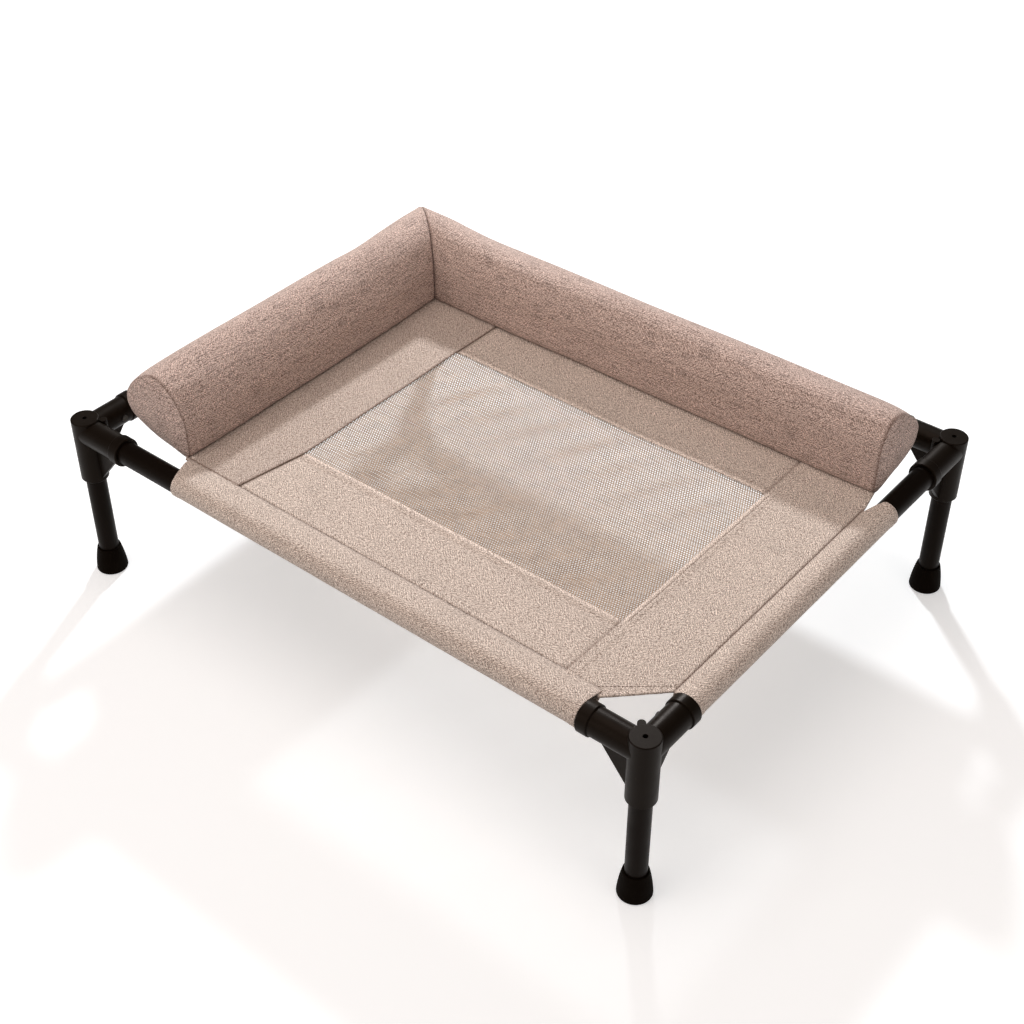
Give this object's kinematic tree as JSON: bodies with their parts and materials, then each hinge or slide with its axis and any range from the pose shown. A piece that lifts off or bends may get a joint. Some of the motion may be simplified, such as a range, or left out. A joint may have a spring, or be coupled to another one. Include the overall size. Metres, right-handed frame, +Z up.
{
  "type": "raised dog cot",
  "caption": "Raised pet cot: tube frame on flared feet with corner sockets, a sewn cloth sheet with a net window, and an L-shaped bolster along two sides.",
  "frame": {"origin": "on the floor, midway between the four legs, which is the bottom centre of the bounding box", "axes": "+X along the long side to the viewer's right, +Y from the open front side to the bolster side, +Z up"},
  "size_m": [0.7648, 0.5868, 0.2867],
  "materials": {
    "corner_plastic": "satin moulded, near black with a brown cast",
    "black_tube": "black satin powder coat",
    "plug_plastic": "black moulded",
    "foot_rubber": "matt black",
    "dark_screw": "black oxide",
    "linen_cloth": "melange linen weave",
    "bolster_cloth": "melange linen weave",
    "window_net": "knitted net",
    "bolster_filling": "soft fibre"
  },
  "bodies": {
    "frame": {"front_left_corner": "corner_plastic", "front_right_corner": "corner_plastic", "back_left_corner": "corner_plastic", "back_right_corner": "corner_plastic", "front_rail": "black_tube", "front_sleeve": "linen_cloth", "front_panel": "linen_cloth", "back_rail": "black_tube", "back_sleeve": "linen_cloth", "back_panel": "linen_cloth", "left_rail": "black_tube", "left_sleeve": "linen_cloth", "left_panel": "linen_cloth", "right_rail": "black_tube", "right_sleeve": "linen_cloth", "right_panel": "linen_cloth", "rail_screws": "dark_screw", "leg_lock_screws": "dark_screw", "mesh_window": "window_net", "corner_hems": "linen_cloth", "left_bolster_cover": "bolster_cloth", "left_bolster_end": "bolster_cloth", "left_bolster_fill": "bolster_filling", "back_bolster_cover": "bolster_cloth", "back_bolster_end": "bolster_cloth", "back_bolster_fill": "bolster_filling"},
    "front_left_leg_body": {"front_left_leg": "black_tube", "front_left_plug": "plug_plastic", "front_left_foot": "foot_rubber"},
    "front_right_leg_body": {"front_right_leg": "black_tube", "front_right_plug": "plug_plastic", "front_right_foot": "foot_rubber"},
    "back_left_leg_body": {"back_left_leg": "black_tube", "back_left_plug": "plug_plastic", "back_left_foot": "foot_rubber"},
    "back_right_leg_body": {"back_right_leg": "black_tube", "back_right_plug": "plug_plastic", "back_right_foot": "foot_rubber"}
  },
  "joints": [
    {"name": "front_left_leg_slide", "type": "slide", "parent": "frame", "child": "front_left_leg_body", "axis": [0, 0, -1], "range_m": [0, 0.055]},
    {"name": "front_right_leg_slide", "type": "slide", "parent": "frame", "child": "front_right_leg_body", "axis": [0, 0, -1], "range_m": [0, 0.055]},
    {"name": "back_left_leg_slide", "type": "slide", "parent": "frame", "child": "back_left_leg_body", "axis": [0, 0, -1], "range_m": [0, 0.055]},
    {"name": "back_right_leg_slide", "type": "slide", "parent": "frame", "child": "back_right_leg_body", "axis": [0, 0, -1], "range_m": [0, 0.055]}
  ]
}
